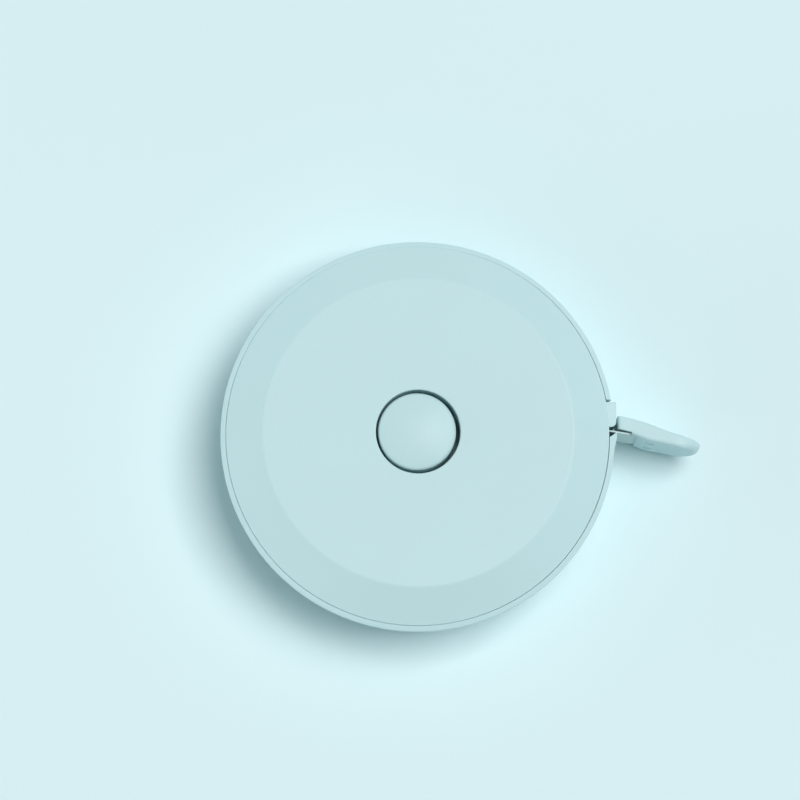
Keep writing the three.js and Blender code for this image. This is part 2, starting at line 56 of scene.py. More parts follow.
# Levels, from the back up
CASE_FLOOR, FOOT_LEVEL, RING_TOP, REEL_BASE, REEL_FLOOR = 1.0, 1.2, 1.3, 1.6, 2.2
TAPE_LOW, TAPE_HIGH = 2.45, 9.45
TAPE_WIDTH, TAPE_MIDDLE = TAPE_HIGH - TAPE_LOW, (TAPE_LOW + TAPE_HIGH) / 2
KEYWAY_FLOOR, STEM_FOOT, PLATE_SEAT, SPRING_LID, OVER_POST = 3.35, 4.65, 6.25, 6.75, 8
FLANGE_FOOT, SKIRT_FOOT, FLANGE_TOP, BRAKE_FOOT, BRAKE_TOP = 8.05, 8.7, 8.75, 8.85, 9.4
BEAD_LEVEL, GROOVE_LEVEL, LEDGE, LID_UNDER, SHELL_FOOT = 9.275, 9.28, 9.65, 9.7, 9.85
COLLAR_FOOT, LID_OVER, GUIDE_FOOT, SEAM_TOP, HOLE_START = 10.0, 10.3, 10.6, 10.8, 11.0
BEVEL_FOOT, ROOF_UNDER, FACE_TOP, OVER_CASE = 11.6, 12.9, 14.0, 15

# Radii, from the rim in
CASE_R, LIP_IN, SHELL_R, BEVEL_R, FOOT_R, WALL_R = 25.0, 24.315, 24.3, 24.1, 23.4, 23.1
SKIRT_R, SKIRT_IN, INNER_FOOT_R, BASE_R, FLANGE_R, LAST_TURN_R = 22.9, 22.3, 22.2, 22.0, 21.6, 20.76
FACE_R, RING_OUT, RING_IN, GUIDE_OUT, GUIDE_IN = 19.7, 13, 12, 11, 10
BRAKE_OUT, BRAKE_IN, LID_HOLE_R, COLLAR_R, HOLE_R, BOSS_R = 8.08, 6.98, 6.78, 6.33, 5.33, 5.0
BUTTON_R, DOME_R, HOLLOW_R, POST_R, BORE_R, STEM_R = 4.9, 4.6, 3.9, 3.8, 2.6, 2.2

# How far the button and the upper shell's seat stand off centre
BUTTON_LEAN, SEAT_LEAN = -0.13, (0.05, 0.0)

# Small sizes of the case: rim, fillet, snap bead, slots and keys, and how far a cutter runs past its cut
RIM_LAND, LIP_RISE, FILLET, BEAD = 0.45, 0.33, 0.4, 0.25
SLOT_HALF, KEY_HALF, KEY_REACH, KEYWAY_HALF, KEYWAY_REACH, PAST = 0.35, 0.4, 3.3, 0.7, 4, 0.3

# Tape, tab and mouth
TAPE_THICK, LOOSE_THICK, TAPE_PITCH, TAPE_LENGTH = 0.28, 0.22, 0.34, 1500.0
EXIT = math.radians(-9)
MOUTH = np.array([CASE_R, 0.7])
ALONG = np.array([math.cos(EXIT), math.sin(EXIT)])
ACROSS = np.array([-ALONG[1], ALONG[0]])
GATE_X, GATE_FAR, NOTCH_FAR, NOSE_R = 25.2, 4.25, 4.55, 0.7
NOTCH_FLOOR, NOTCH_NEAR, LIP_X = 2.1, -0.3, 25.3
TAB_LENGTH, TAB_LOW, TAB_HIGH, HEEL_ROUND, TIP_ROUND = 11.2, 1.75, 10.15, 0.5, 3.4
POCKET_END, JAW_START, FLEX_AT = 5.7, 2.25, 1.75
PEG_AT, PEG_R, PEG_SPREAD, PEG_LENGTH, PEG_FOOT, PEG_ROOM = 4.75, 0.45, 3.6, 1.57, -0.57, 0.1
RUN_END, OUT_END = -0.5, 1.2


# Meshes

def piece(name, points, faces, finish, sharp=35):
    """A mesh object from points in millimetres."""
    mesh = bpy.data.meshes.new(name)
    mesh.from_pydata((np.asarray(points, float) * MM).tolist(), [], faces)
    made = bpy.data.objects.new(name, mesh)
    SCENE.collection.objects.link(made)
    cleaned(made, finish, sharp)
    return made


def cleaned(made, finish, sharp=35):
    """Merges doubles, turns the faces outwards, shades them smooth up to an angle and gives them a finish."""
    work = bmesh.new()
    work.from_mesh(made.data)
    bmesh.ops.remove_doubles(work, verts=work.verts, dist=2e-7)
    bmesh.ops.dissolve_degenerate(work, edges=work.edges, dist=1e-7)
    bmesh.ops.recalc_face_normals(work, faces=work.faces)
    work.to_mesh(made.data)
    work.free()
    made.data.materials.clear()
    made.data.materials.append(finish)
    made.data.polygons.foreach_set("use_smooth", [True] * len(made.data.polygons))
    made.data.set_sharp_from_angle(angle=math.radians(sharp))
    made.data.update()


def softened(corners, steps=5):
    """A profile whose corners (radius, height, rounding) are rounded, with a point beside each rounding."""
    widest, gap, gap_share = 0.45, 0.12, 0.2
    points = []
    for i, corner in enumerate(corners):
        here = np.array(corner[:2], float)
        rounding = corner[2] if len(corner) > 2 else 0
        if not rounding or i in (0, len(corners) - 1):
            points.append(here)
            continue
        back, ahead = np.array(corners[i - 1][:2]) - here, np.array(corners[i + 1][:2]) - here
        long_back, long_ahead = np.linalg.norm(back), np.linalg.norm(ahead)
        back, ahead = back / long_back, ahead / long_ahead
        half = math.acos(max(-1.0, min(1.0, float(back @ ahead)))) / 2
        reach = min(rounding / math.tan(half), widest * long_back, widest * long_ahead)
        beside = reach + min(gap, gap_share * long_back, gap_share * long_ahead)
        points.append(here + back * beside)
        for k in range(steps + 1):
            t = k / steps
            points.append(here + back * reach * (1 - t) ** 2 + ahead * reach * t ** 2)
        points.append(here + ahead * beside)
    return [tuple(p) for p in points]


def softened_ring(corners):
    """A softened profile that closes on itself. Its first corner stays as it is."""
    return softened([*corners, corners[0]])[:-1]


def turned(name, profile, finish, sides=288, middle=(0, 0)):
    """A profile of (radius, height) pairs turned about an upright axis. One that starts and ends on the
    axis is closed by it, and any other closes on itself."""
    on_axis = profile[0][0] == 0
    angles = np.arange(sides) * 2 * math.pi / sides
    points = []
    for r, z in profile:
        points += [(middle[0] + r * math.cos(a), middle[1] + r * math.sin(a), z) for a in angles]
    count = len(profile)
    faces = []
    for k in range(count - 1 if on_axis else count):
        low, high = k * sides, (k + 1) % count * sides
        for j in range(sides):
            n = (j + 1) % sides
            faces.append((low + j, low + n, high + n, high + j))
    return piece(name, points, faces, finish)


def upright(name, outline, low, high, finish, edge=0):
    """A flat outline of (x, y) pairs raised from one level to another, its edges rounded if edge is given."""
    count = len(outline)
    points = [(x, y, z) for z in (low, high) for x, y in outline]
    faces = [tuple(range(count)), tuple(range(count, 2 * count))]
    faces += [(i, (i + 1) % count, (i + 1) % count + count, i + count) for i in range(count)]
    made = piece(name, points, faces, finish)
    if edge:
        bevel = made.modifiers.new("edge", "BEVEL")
        bevel.width = edge * MM
        bevel.segments = 3
        bevel.limit_method = "ANGLE"
        bevel.angle_limit = math.radians(40)
        settle(made)
        cleaned(made, finish)
    return made


def settle(made):
    """Turns an object's modifiers into its plain mesh."""
    evaluated = made.evaluated_get(bpy.context.evaluated_depsgraph_get())
    old, mesh = made.data, bpy.data.meshes.new_from_object(evaluated)
    made.modifiers.clear()
    made.data = mesh
    mesh.name = made.name
    bpy.data.meshes.remove(old)


def carved(made, tool, how="DIFFERENCE"):
    """Cuts a tool out of a piece, or joins it on, and uses the tool up."""
    cut = made.modifiers.new("cut", "BOOLEAN")
    cut.operation, cut.solver, cut.object = how, "EXACT", tool
    finish = made.data.materials[0]
    bpy.context.view_layer.update()
    settle(made)
    bpy.data.objects.remove(tool)
    cleaned(made, finish)


def split_wide_faces(made):
    """Splits faces of more than four corners into well-shaped triangles."""
    work = bmesh.new()
    work.from_mesh(made.data)
    wide = [face for face in work.faces if len(face.verts) > 4]
    bmesh.ops.triangulate(work, faces=wide, quad_method="BEAUTY", ngon_method="BEAUTY")
    work.to_mesh(made.data)
    work.free()
    made.data.update()


def fitted(made, node, body):
    """Puts a finished piece in the place of its CAD node."""
    split_wide_faces(made)
    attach(made, body)
    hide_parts(node)


# Outlines

def arc(middle, radius, start, end, steps):
    angles = np.linspace(start, end, steps + 1)
    return [(middle[0] + radius * math.cos(a), middle[1] + radius * math.sin(a)) for a in angles]


def oblong(x0, x1, y0, y1):
    return [(x0, y0), (x1, y0), (x1, y1), (x0, y1)]


def polar(radius, angle):
    return np.array([radius * math.cos(angle), radius * math.sin(angle)])


def by_tape(u, v):
    """A point u along the tape from the rim and v to its inner side, seen from above."""
    return MOUTH + u * ALONG + v * ACROSS


# Node trees

class Link:
    """An output socket of a node tree, which can be used in sums."""

    def __init__(self, tree, socket):
        self.tree, self.socket = tree, socket

    def node(self, kind, settings=None, inputs=None, output=0):
        """A new node in the same tree: its settings are set first, then its sockets are set or linked."""
        made = self.tree.nodes.new(kind)
        for name, value in (settings or {}).items():
            setattr(made, name, value)
        for name, value in (inputs or {}).items():
            if isinstance(value, Link):
                self.tree.links.new(value.socket, made.inputs[name])
            else:
                made.inputs[name].default_value = value
        return Link(self.tree, made.outputs[output])

    def math(self, operation, *values):
        inputs = dict(enumerate((self, *values)))
        return self.node("ShaderNodeMath", {"operation": operation}, inputs)

    def __add__(self, other):
        return self.math("ADD", other)

    def __sub__(self, other):
        return self.math("SUBTRACT", other)

    def __rsub__(self, other):
        return self * -1.0 + other

    def __mul__(self, other):
        return self.math("MULTIPLY", other)

    def __truediv__(self, other):
        return self.math("DIVIDE", other)

    __radd__, __rmul__ = __add__, __mul__

    def above(self, edge, softness):
        """0 below an edge, 1 above it, with a soft step."""
        settings = {"interpolation_type": "SMOOTHSTEP"}
        inputs = {"Value": self, "From Min": edge - softness, "From Max": edge + softness}
        return self.node("ShaderNodeMapRange", settings, inputs)

    def noise(self, scale, detail=2.0, roughness=0.5):
        inputs = {"Vector": self, "Scale": scale, "Detail": detail, "Roughness": roughness}
        return self.node("ShaderNodeTexNoise", {"noise_dimensions": "3D"}, inputs)

    def parts(self):
        return [self.node("ShaderNodeSeparateXYZ", None, {0: self}, k) for k in range(3)]

    def mixed(self, first, second):
        """A colour that goes from the first to the second as this value goes from 0 to 1."""
        factor, color_a, color_b, color_out = 0, 6, 7, 2
        inputs = {factor: self, color_a: first, color_b: second}
        return self.node("ShaderNodeMix", {"data_type": "RGBA"}, inputs, color_out)


def srgb(red, green, blue):
    """A colour written in display values from 0 to 255."""
    def linear(value):
        value /= 255
        return value / 12.92 if value <= 0.04045 else ((value + 0.055) / 1.055) ** 2.4
    return (linear(red), linear(green), linear(blue), 1.0)


def shaded(color, factor):
    return tuple(min(1.0, c * factor) for c in color[:3]) + (1.0,)


# Materials

def new_material(name):
    """A new material, its Principled shader and the Object coordinates."""
    made = bpy.data.materials.new(name)
    made.use_nodes = True
    tree = made.node_tree
    shader = tree.nodes["Principled BSDF"]
    place = Link(tree, tree.nodes.new("ShaderNodeTexCoord").outputs["Object"])
    return made, shader, place


def feed(shader, socket, link):
    link.tree.links.new(link.socket, shader.inputs[socket])


def bumped(shader, height, distance, strength):
    """Lets a height from 0 to 1, times a distance in metres, disturb the shader's normal."""
    inputs = {"Height": height, "Distance": distance, "Strength": strength}
    feed(shader, "Normal", height.node("ShaderNodeBump", None, inputs))


def moulded_plastic(name, color, roughness, grain):
    """Injection-moulded plastic: a faint cloudiness, a fine satin grain and patchy gloss."""
    made, shader, place = new_material(name)
    cloud = place.noise(90, 3.0)
    fleck = place.noise(2600, 2.0)
    tone = (cloud - 0.5) * 0.9 + (fleck - 0.5) * 0.35 + 0.5
    feed(shader, "Base Color", tone.mixed(shaded(color, 0.975), shaded(color, 1.025)))
    satin = place.noise(1500, 3.0, 0.6)
    wiped = place.noise(45, 4.0, 0.6)
    feed(shader, "Roughness", roughness + (satin - 0.5) * 0.1 + (wiped - 0.5) * 0.08)
    bumped(shader, satin + place.noise(6000, 1.0) * 0.5, 0.02 * MM, grain)
    shader.inputs["IOR"].default_value = 1.52
    return made


def rolled_steel(name):
    """Drawn and rolled steel with fine scratches and a slight blueing."""
    made, shader, place = new_material(name)
    stretched = place.node("ShaderNodeMapping", None, {"Vector": place, "Scale": (1.0, 1.0, 14.0)})
    scratch = stretched.noise(900, 4.0, 0.65)
    tint = place.noise(240, 2.0)
    worn = tint.mixed(srgb(150, 153, 158), srgb(176, 178, 180))
    feed(shader, "Base Color", scratch.mixed(worn, srgb(190, 192, 195)))
    feed(shader, "Roughness", 0.24 + scratch * 0.22)
    bumped(shader, scratch, 0.01 * MM, 0.25)
    shader.inputs["Metallic"].default_value = 1.0
    return made


def dusty_rubber(name):
    """Matt black rubber with a fine dusty bloom."""
    made, shader, place = new_material(name)
    dust = place.noise(700, 4.0, 0.65)
    feed(shader, "Base Color", dust.above(0.56, 0.2).mixed(srgb(38, 39, 40), srgb(74, 76, 77)))
    feed(shader, "Roughness", 0.72 + dust * 0.2)
    bumped(shader, dust, 0.03 * MM, 0.35)
    return made


def woven_tape(name, marked):
    """Coated glass-fibre tape: a fine plain weave under a satin coat, with printed graduations if marked."""
    made, shader, place = new_material(name)
    turn = {"Vector": place, "Location": (0, 0, 0), "Rotation": (0, 0, -EXIT)}
    along, _, up = place.node("ShaderNodeMapping", None, turn).parts()
    thread = 2 * math.pi / (0.42 * MM)
    weave = ((along * thread).math("SINE") * (up * thread).math("SINE")) * 0.5 + 0.5
    cloud = place.noise(160, 2.0)
    color = (weave * 0.35 + cloud * 0.4).mixed(srgb(182, 207, 208), srgb(208, 226, 226))
    if marked:
        printed = graduations(along - (by_tape(0, 0) @ ALONG) * MM, up - TAPE_LOW * MM)
        color = (printed * (0.86 + weave * 0.1)).mixed(color, srgb(34, 38, 44))
    feed(shader, "Base Color", color)
    feed(shader, "Roughness", 0.5 + weave * 0.12)
    bumped(shader, weave, 0.03 * MM, 0.4)
    return made


def graduations(along, height):
    """1 where ink is, by a point's place along the tape from the rim and its height on it: a tick at each
    millimetre from both edges, longer ones at 5 and 10, and none on the cut edges and the first stretch."""
    width, soft, cut_edge = TAPE_WIDTH * MM, 0.02 * MM, 0.03 * MM
    blank_middle, blank_half, blank_soft = 1 * MM, 2 * MM, 0.1 * MM

    def ticks(step, length, thick):
        beside = (along / step + 0.5).math("FRACT") - 0.5
        line = 1 - (beside.math("ABSOLUTE") * step).above(thick / 2, soft)
        low = 1 - height.above(length, soft)
        high = height.above(width - length, soft)
        return line * low.math("MAXIMUM", high)

    ink = ticks(1 * MM, 1.4 * MM, 0.16 * MM)
    for step, length, thick in ((5, 2.1, 0.2), (10, 2.7, 0.24)):
        ink = ink.math("MAXIMUM", ticks(step * MM, length * MM, thick * MM))
    face = height.above(cut_edge, cut_edge / 3) * (1 - height.above(width - cut_edge, cut_edge / 3))
    past_blank = (along - blank_middle).math("ABSOLUTE").above(blank_half, blank_soft)
    return ink * face * past_blank


case_plastic = moulded_plastic("mint_plastic", srgb(190, 221, 224), 0.52, 0.1)
reel_plastic = moulded_plastic("white_reel_plastic", srgb(226, 226, 220), 0.46, 0.16)
rubber = dusty_rubber("brake_rubber")
steel = rolled_steel("spring_steel")
cloth = woven_tape("woven_tape", False)
marked_cloth = woven_tape("graduated_tape", True)


# Strips and wires that follow a path

def swept_tree(name, round_section):
    """Geometry nodes that sweep a section along a line of edges: a round wire, or an upright flat strip."""
    tree = bpy.data.node_groups.new(name, "GeometryNodeTree")
    kinds = {"Line": "Geometry", "Thickness": "Float", "Finish": "Material"}
    if not round_section:
        kinds["Width"] = "Float"
    for label, kind in kinds.items():
        tree.interface.new_socket(label, in_out="INPUT", socket_type="NodeSocket" + kind)
    tree.interface.new_socket("Swept", in_out="OUTPUT", socket_type="NodeSocketGeometry")
    entry = tree.nodes.new("NodeGroupInput")
    given = {label: Link(tree, entry.outputs[label]) for label in kinds}
    path = given["Line"].node("GeometryNodeMeshToCurve", None, {"Mesh": given["Line"]})
    if round_section:
        inputs = {"Resolution": 14, "Radius": given["Thickness"] * 0.5}
        section = path.node("GeometryNodeCurvePrimitiveCircle", {"mode": "RADIUS"}, inputs)
    else:
        path = path.node("GeometryNodeSetCurveNormal", {"mode": "Z_UP"}, {"Curve": path})
        inputs = {"Width": given["Thickness"], "Height": given["Width"]}
        section = path.node("GeometryNodeCurvePrimitiveQuadrilateral", {"mode": "RECTANGLE"}, inputs)
    inputs = {"Curve": path, "Profile Curve": section, "Fill Caps": True}
    solid = path.node("GeometryNodeCurveToMesh", None, inputs)
    solid = solid.node("GeometryNodeRealizeInstances", None, {"Geometry": solid})
    inputs = {"Geometry": solid, "Material": given["Finish"]}
    solid = solid.node("GeometryNodeSetMaterial", None, inputs)
    leave = tree.nodes.new("NodeGroupOutput")
    tree.links.new(solid.socket, leave.inputs[0])
    return tree


STRIP = swept_tree("upright_strip", False)
WIRE = swept_tree("round_wire", True)


def swept(name, tree, path, finish, thickness, width=0):
    """A strip or wire along a path of points in millimetres."""
    mesh = bpy.data.meshes.new(name)
    points = np.asarray(path, float) * MM
    mesh.from_pydata(points.tolist(), [(i, i + 1) for i in range(len(points) - 1)], [])
    made = bpy.data.objects.new(name, mesh)
    SCENE.collection.objects.link(made)
    sweep = made.modifiers.new("sweep", "NODES")
    sweep.node_group = tree
    sizes = {"Thickness": thickness * MM, "Width": width * MM, "Finish": finish}
    for item in tree.interface.items_tree:
        if item.in_out == "INPUT" and item.name in sizes:
            sweep[item.identifier] = sizes[item.name]
    bpy.context.view_layer.update()
    settle(made)
    cleaned(made, finish)
    return made


# The tape's way from the coil round the gate's nose to the mouth

BEND_R = NOSE_R + 0.1 + TAPE_THICK / 2
NOSE = np.array([GATE_X - NOSE_R, 0.0])
NOSE[1] = MOUTH[1] + (BEND_R - (NOSE[0] - MOUTH[0]) * ACROSS[0]) / ACROSS[1]
LEAVE_ANGLE = math.atan2(NOSE[1], NOSE[0]) + math.acos((LAST_TURN_R + BEND_R) / np.linalg.norm(NOSE))
LEAVE_POINT = polar(LAST_TURN_R, LEAVE_ANGLE)
BEND_FROM, BEND_TO = LEAVE_ANGLE + math.pi, EXIT + 1.5 * math.pi
BEND_START = NOSE + polar(BEND_R, BEND_FROM)
STRAIGHT = BEND_START - LEAVE_POINT
CLEAR_OF_COIL = math.sqrt((LAST_TURN_R + TAPE_THICK / 2 + 0.2) ** 2 - (LAST_TURN_R - TAPE_THICK / 2) ** 2)
RUN_START = LEAVE_POINT + STRAIGHT * CLEAR_OF_COIL / np.linalg.norm(STRAIGHT)
CHANNEL_HALF = TAPE_THICK / 2 + 0.45

# The coil, whose first turn follows from the tape's length, and the hub inside it
LOOSE_LENGTH = np.linalg.norm(STRAIGHT) + BEND_R * (BEND_TO - BEND_FROM) + POCKET_END
FIRST_TURN_R = math.sqrt(LAST_TURN_R ** 2 - (TAPE_LENGTH - LOOSE_LENGTH) * TAPE_PITCH / math.pi)
TURNS = (LAST_TURN_R - FIRST_TURN_R) / TAPE_PITCH
COIL_END = math.atan2(RUN_START[1], RUN_START[0])
COIL_START = COIL_END + TURNS * 2 * math.pi
HUB_R = FIRST_TURN_R - TAPE_THICK / 2 - 0.3
SEAT_R, CHAMBER_R = HUB_R - 1, HUB_R - 1.5


def run_outline(half):
    """The tape's way from the coil to the mouth, as a band of that half width seen from above."""
    side = np.array([-STRAIGHT[1], STRAIGHT[0]]) / np.linalg.norm(STRAIGHT)
    begin = [RUN_START + side * s for s in (half, -half)]
    end = [by_tape(RUN_END, s) for s in (half, -half)]
    inner = arc(NOSE, BEND_R - half, BEND_FROM, BEND_TO, 12)
    outer = arc(NOSE, BEND_R + half, BEND_TO, BEND_FROM, 12)
    return [tuple(begin[0]), *inner, tuple(end[0]), tuple(end[1]), *outer, tuple(begin[1])]


# Case

def lower_shell():
    foot, rim = np.array([FOOT_R, FOOT_LEVEL]), np.array([CASE_R, SEAM_TOP - RIM_LAND])
    bulge, steps = np.array([0.3, -0.05]), 12
    wall = []
    for k in range(2, steps):
        t = k / steps
        wall.append(tuple(foot * (1 - t) + rim * t + bulge * 2 * t * (1 - t)))
    corners = [
        (0, 0), (BASE_R, 0, 0.7), (FOOT_R, FOOT_LEVEL, 1.0), *wall, (CASE_R, SEAM_TOP - RIM_LAND),
        (CASE_R, SEAM_TOP, 0.2), (LIP_IN, SEAM_TOP + LIP_RISE, 0.05), (LIP_IN, LEDGE), (WALL_R, LEDGE),
        (WALL_R, GROOVE_LEVEL + BEAD), (WALL_R + BEAD, GROOVE_LEVEL), (WALL_R, GROOVE_LEVEL - BEAD),
        (INNER_FOOT_R, CASE_FLOOR + FILLET, FILLET), (INNER_FOOT_R - FILLET, CASE_FLOOR),
        (RING_OUT, CASE_FLOOR), (RING_OUT, RING_TOP), (RING_IN, RING_TOP), (RING_IN, CASE_FLOOR),
        (BOSS_R, CASE_FLOOR), (BOSS_R, REEL_FLOOR, 0.1), (POST_R, REEL_FLOOR), (POST_R, SPRING_LID, 0.12),
        (BORE_R, SPRING_LID, 0.12), (BORE_R, CASE_FLOOR), (0, CASE_FLOOR),
    ]
    shell = turned("lower_shell_moulding", softened(corners), case_plastic)

    def raised(name, outline, low, high):
        return upright(name, outline, low, high, case_plastic)

    lip_y = MOUTH[1] + ((LIP_X - MOUTH[0]) * ALONG[1] - TAPE_THICK / 2 - 0.1) / ALONG[0]
    root_x, root_y, side = WALL_R + 0.1, -2.4, (24.75, -2.7)
    lip = [(root_x, NOTCH_NEAR), (root_x, root_y), side, (LIP_X, NOTCH_NEAR), (LIP_X, lip_y)]
    carved(shell, raised("lip", lip, NOTCH_FLOOR, SEAM_TOP), "UNION")
    outside = 26.5
    notch = [(SKIRT_IN, NOTCH_FAR), (SKIRT_IN, NOTCH_NEAR), (SHELL_R, NOTCH_NEAR), (LIP_X, lip_y),
             (outside, lip_y), (outside, NOTCH_FAR)]
    carved(shell, raised("notch", notch, NOTCH_FLOOR, OVER_CASE))
    carved(shell, raised("channel", run_outline(CHANNEL_HALF), NOTCH_FLOOR, LEDGE))
    seat = [(LIP_IN, LEDGE), (LIP_IN, OVER_CASE), (SKIRT_R, OVER_CASE), (SKIRT_R, LEDGE)]
    carved(shell, turned("seat", seat, case_plastic, middle=SEAT_LEAN))
    keyway = oblong(-KEYWAY_HALF, KEYWAY_HALF, -KEYWAY_REACH, KEYWAY_REACH)
    carved(shell, raised("key_slot", keyway, KEYWAY_FLOOR, OVER_POST))
    hook = oblong(BORE_R - PAST, POST_R + PAST, -SLOT_HALF, SLOT_HALF)
    carved(shell, raised("hook_slot", hook, REEL_FLOOR, OVER_POST))
    fitted(shell, "lower_shell", "case")


def upper_shell():
    slope = (FACE_TOP - BEVEL_FOOT) / (BEVEL_R - FACE_R)
    roof = FACE_TOP - ROOF_UNDER
    inset = roof * math.hypot(1, slope)
    under = FACE_TOP - inset - (SKIRT_IN - FACE_R) * slope
    roof_r = FACE_R + (roof - inset) / slope
    corners = [
        (HOLE_R, HOLE_START), (HOLE_R, FACE_TOP, 0.15), (FACE_R, FACE_TOP, 0.8),
        (SHELL_R - 0.02, SEAM_TOP + 0.5, 0.1), (SHELL_R, SEAM_TOP), (SHELL_R, SHELL_FOOT, 0.1),
        (SKIRT_R, SHELL_FOOT), (SKIRT_R, BEAD_LEVEL + BEAD), (SKIRT_R + BEAD, BEAD_LEVEL, 0.05),
        (SKIRT_R, BEAD_LEVEL - BEAD), (SKIRT_R, SKIRT_FOOT, 0.1), (SKIRT_IN, SKIRT_FOOT, 0.1),
        (SKIRT_IN, under), (roof_r, ROOF_UNDER), (GUIDE_OUT, ROOF_UNDER), (GUIDE_OUT, GUIDE_FOOT, 0.1),
        (GUIDE_IN, GUIDE_FOOT, 0.1), (GUIDE_IN, ROOF_UNDER), (COLLAR_R, ROOF_UNDER),
        (COLLAR_R, COLLAR_FOOT, 0.1), (HOLE_R, COLLAR_FOOT, 0.1),
    ]
    shell = turned("upper_shell_moulding", softened_ring(corners), case_plastic)
    carved(shell, upright("channel", run_outline(CHANNEL_HALF), 0, LEDGE, case_plastic))
    left = GATE_X - 2 * NOSE_R
    gate_foot, brow_top = NOTCH_FLOOR + 0.2, SEAM_TOP + 0.3
    gate_top, brow_foot = brow_top - 0.1, brow_top - 0.35
    heel = (SKIRT_R + 0.05, GATE_FAR - 0.6)
    beside_tape = (left, heel[1] + (left - heel[0]) * STRAIGHT[1] / STRAIGHT[0])
    rounded = arc(NOSE, NOSE_R, math.pi, 2 * math.pi, 24)
    sunk = [(x, NOSE[1] + (y - NOSE[1]) * 0.4) for x, y in rounded]
    for name, end, low, high in (("gate", sunk, gate_foot, gate_top), ("brow", rounded, brow_foot, brow_top)):
        outline = [(heel[0], GATE_FAR), heel, beside_tape, *end, (GATE_X, GATE_FAR)]
        carved(shell, upright(name, outline, low, high, case_plastic, edge=0.1), "UNION")
    fitted(shell, "upper_shell", "case")


def push_button():
    edge, rise = FACE_TOP + 0.1, 0.9
    sphere = (DOME_R ** 2 + rise ** 2) / (2 * rise)
    dome = [(sphere * math.sin(a), edge + rise - sphere * (1 - math.cos(a)))
            for a in np.linspace(0, math.asin(DOME_R / sphere), 24)]
    rim_out, rim_top = BRAKE_IN - 0.1, FLANGE_TOP + 0.4
    rim_in = rim_out - 0.4
    corners = [
        *dome, (BUTTON_R - 0.2, edge - 0.06, 0.12), (BUTTON_R, edge - 0.3, 0.12), (BUTTON_R, FLANGE_TOP),
        (rim_in, FLANGE_TOP), (rim_in, rim_top, 0.05), (rim_out, rim_top, 0.05), (rim_out, FLANGE_TOP),
        (BRAKE_OUT, FLANGE_TOP, 0.08), (BRAKE_OUT, FLANGE_FOOT, 0.08), (HOLLOW_R, FLANGE_FOOT, 0.08),
        (HOLLOW_R, ROOF_UNDER), (STEM_R, ROOF_UNDER), (STEM_R, STEM_FOOT, 0.15), (0, STEM_FOOT),
    ]
    button = turned("button_moulding", softened(corners), case_plastic, 192, (BUTTON_LEAN, 0))
    keys = oblong(BUTTON_LEAN - KEY_HALF, BUTTON_LEAN + KEY_HALF, -KEY_REACH, KEY_REACH)
    carved(button, upright("keys", keys, STEM_FOOT, FLANGE_FOOT, case_plastic, edge=0.06), "UNION")
    fitted(button, "push_button", "button")


def brake_ring():
    edge = 0.14
    corners = [
        ((BRAKE_IN + BRAKE_OUT) / 2, BRAKE_FOOT), (BRAKE_OUT, BRAKE_FOOT, edge),
        (BRAKE_OUT, BRAKE_TOP, edge), (BRAKE_IN, BRAKE_TOP, edge), (BRAKE_IN, BRAKE_FOOT, edge),
    ]
    ring = turned("brake_ring_rubber", softened_ring(corners), rubber, 160, (BUTTON_LEAN, 0))
    fitted(ring, "brake_ring", "button")


# Pull tab

def inset_outline(inset):
    """The tab's outline seen from the side, moved in by an inset: pairs of place along the tab and height."""
    heel, tip = max(HEEL_ROUND - inset, 0), max(TIP_ROUND - inset, 0)
    left, right, low, high = inset, TAB_LENGTH - inset, TAB_LOW + inset, TAB_HIGH - inset
    quarter = math.pi / 2
    corners = [
        arc((left + heel, low + heel), heel, 2 * quarter, 3 * quarter, 6),
        arc((right - tip, low + tip), tip, 3 * quarter, 4 * quarter, 16),
        arc((right - tip, high - tip), tip, 0, quarter, 16),
        arc((left + heel, high - heel), heel, quarter, 2 * quarter, 6),
    ]
    sides = [30, 6, 30, 20]
    points = []
    for corner, following, steps in zip(corners, corners[1:] + corners[:1], sides):
        points += corner
        a, b = np.array(corner[-1]), np.array(following[0])
        points += [tuple(a + (b - a) * k / steps) for k in range(1, steps)]
    return points


def bezier(points, steps=200):
    t = np.linspace(0, 1, steps)[:, None]
    p = [np.array(q, float) for q in points]
    curve = (1 - t) ** 3 * p[0] + 3 * (1 - t) ** 2 * t * p[1] + 3 * (1 - t) * t ** 2 * p[2] + t ** 3 * p[3]
    return curve[np.argsort(curve[:, 0])]


def smooth(value):
    value = min(1.0, max(0.0, value))
    return value * value * (3 - 2 * value)


HEEL_V, BACK_V, BELLY_V, TIP_V, TIP_FROM = 2.0, 0.78, 0.8, 0.2, TAB_LENGTH - 1.9
BACK_LINE = bezier([(TIP_FROM, BACK_V), (6.4, BACK_V), (4.6, HEEL_V), (0, HEEL_V)])
BELLY_LINE = np.array([
    (0, -0.08), (JAW_START, -0.08), (JAW_START + 2.0, -0.535), (JAW_START + 2.4, -0.575),
    (TIP_FROM, -BELLY_V), (TAB_LENGTH, -BELLY_V),
])


def tab_surface(u, inset, side):
    """How far the tab's back (side 1) or belly (side -1) stands from the line of the tape, at a place along
    the tab and an inset from its outline. The edges are rounded, and more so towards the tip."""
    line = BACK_LINE if side > 0 else BELLY_LINE
    full = float(np.interp(u, line[:, 0], line[:, 1]))
    heel_edge, wider, widens_from, widens_over = 0.2, 0.22, 0.4, 1.5
    edge = heel_edge + wider * smooth((u - widens_from) / widens_over)
    tip_begins, tip_ends, tip_reach = 8.4, TAB_LENGTH - 0.9, 1.1
    to_tip = smooth((u - tip_begins) / (tip_ends - tip_begins))
    reach = edge + (tip_reach - edge) * to_tip
    depth = edge + (abs(full - TIP_V) - edge) * to_tip
    lack = 1 - min(inset / reach, 1.0)
    return full - side * depth * (1 - math.sqrt(max(0.0, 1 - lack * lack)))


